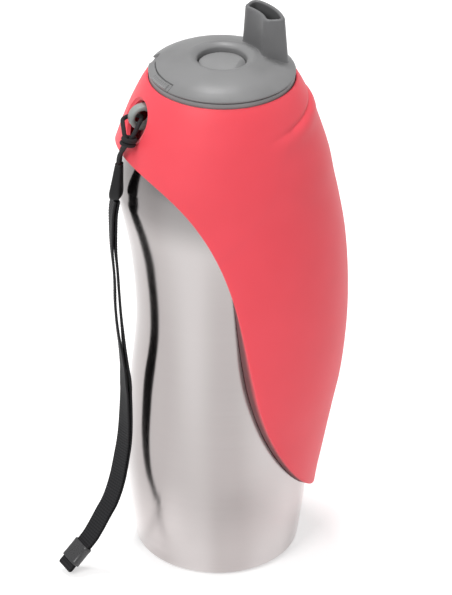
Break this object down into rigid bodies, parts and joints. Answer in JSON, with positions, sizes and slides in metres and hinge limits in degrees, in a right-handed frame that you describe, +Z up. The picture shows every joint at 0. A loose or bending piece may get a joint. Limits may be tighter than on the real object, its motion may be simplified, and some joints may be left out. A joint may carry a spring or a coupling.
{
  "type": "dog travel water bottle",
  "caption": "Tall steel water bottle with a fold-out silicone drinking bowl for a dog, a screw lid with spout, push valve and lock tab, and a wrist strap.",
  "frame": {"origin": "centre of the flat underside of the foot, on the floor", "axes": "+Z up the bottle's axis to the lid; +X towards the middle of the leaf; the ear and strap are on -X"},
  "size_m": [0.127, 0.1072, 0.2448],
  "materials": {
    "steel": "satin, brushed round the axis",
    "silicone": "matt",
    "grey_plastic": "fine matt grain",
    "black_plastic": "matt",
    "seal_rubber": "matt",
    "spring_steel": "bright",
    "cord": "braided",
    "webbing": "woven, ribbed across"
  },
  "bodies": {
    "bottle": {"bottle_shell": "steel", "neck_ring": "grey_plastic", "bowl_collar": "silicone", "fold_web": "silicone", "cord_loop": "cord", "cord_sleeve": "black_plastic", "wrist_strap": "webbing"},
    "leaf": {"bowl_leaf": "silicone"},
    "lid_carrier": {"seal_gasket": "seal_rubber"},
    "lid": {"lid_base": "grey_plastic", "dome_seal": "seal_rubber", "lid_dome": "grey_plastic", "spout": "grey_plastic", "stem_guide": "grey_plastic", "guide_screws": "spring_steel", "valve_seat": "seal_rubber", "button_spring": "spring_steel"},
    "button": {"press_button": "grey_plastic", "button_seal": "seal_rubber", "valve_stem": "grey_plastic", "valve_disc": "grey_plastic", "valve_seal": "seal_rubber", "valve_screw": "spring_steel"},
    "lock": {"lock_slider": "grey_plastic"},
    "strap_clip": {"strap_slider": "black_plastic"}
  },
  "joints": [
    {"name": "leaf_flip", "type": "hinge", "parent": "bottle", "child": "leaf", "pos_m": [0.0353, 0, 0.212], "axis": [0, -1, 0], "range_deg": [0, 160], "deforming": ["fold_web"]},
    {"name": "lid_rise", "type": "slide", "parent": "bottle", "child": "lid_carrier", "axis": [0, 0, 1], "range_m": [0, 0.00375]},
    {"name": "lid_turn", "type": "hinge", "parent": "lid_carrier", "child": "lid", "pos_m": [0, 0, 0.2229], "axis": [0, 0, 1], "range_deg": [0, 450]},
    {"name": "button_press", "type": "slide", "parent": "lid", "child": "button", "axis": [0, 0, -1], "range_m": [0, 0.003], "stiffness_N_per_m": 900, "springref_m": -0.0025, "deforming": ["button_spring"]},
    {"name": "lock_slide", "type": "hinge", "parent": "lid", "child": "lock", "pos_m": [0, 0, 0.2235], "axis": [0, 0, -1], "range_deg": [0, 12]},
    {"name": "strap_slide", "type": "slide", "parent": "bottle", "child": "strap_clip", "axis": [0.6784, 0.0397, 0.7336], "range_m": [0, 0.003]}
  ],
  "couplings": [
    {"joint": "lid_turn", "follows": "lid_rise", "rad_per_m": 2094.4}
  ]
}
